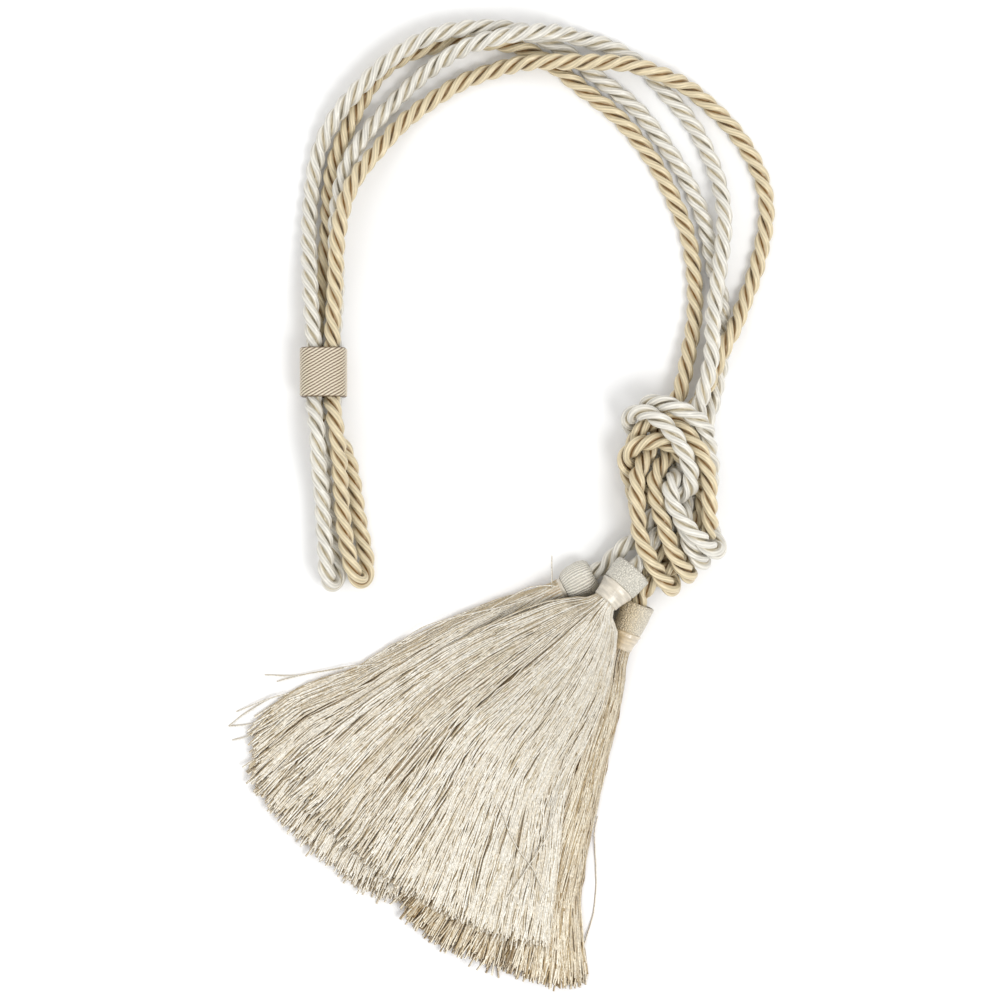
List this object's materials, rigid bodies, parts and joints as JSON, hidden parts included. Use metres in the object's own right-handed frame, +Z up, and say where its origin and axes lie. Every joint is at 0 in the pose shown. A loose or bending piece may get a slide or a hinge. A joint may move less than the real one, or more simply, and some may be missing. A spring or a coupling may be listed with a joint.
{
  "type": "curtain tieback tassel",
  "caption": "Rope curtain tieback: twisted cords doubled into a hanging loop, bound by a wound collar, tied in a knot and ended with fanned tassels.",
  "frame": {"origin": "middle of the lying tieback's outline in plan, on the surface it lies on", "axes": "+Z up from the surface, +Y towards the top of the bow and away from the tassels, +X to the knot's side of the bow"},
  "size_m": [0.217, 0.3848, 0.032],
  "materials": {
    "ivory_rope": "silky twisted cord, ivory",
    "beige_rope": "silky twisted cord, beige",
    "collar_cord": "fine twisted cord wound side by side",
    "ivory_threads": "loose crinkled threads, ivory",
    "beige_threads": "loose crinkled threads, beige",
    "woven_band": "matt woven tape",
    "satin_ribbon": "satin ribbon"
  },
  "bodies": {
    "root": {"rope_ivory": "ivory_rope", "rope_beige": "beige_rope", "collar": "collar_cord", "tassel_left": "ivory_threads", "band_left": "woven_band", "ribbon_left": "satin_ribbon", "tassel_front": "ivory_threads", "band_front": "woven_band", "ribbon_front": "satin_ribbon", "tassel_hidden": "beige_threads", "band_hidden": "woven_band", "ribbon_hidden": "satin_ribbon", "tassel_right": "beige_threads", "band_right": "woven_band", "ribbon_right": "satin_ribbon"}
  },
  "joints": []
}
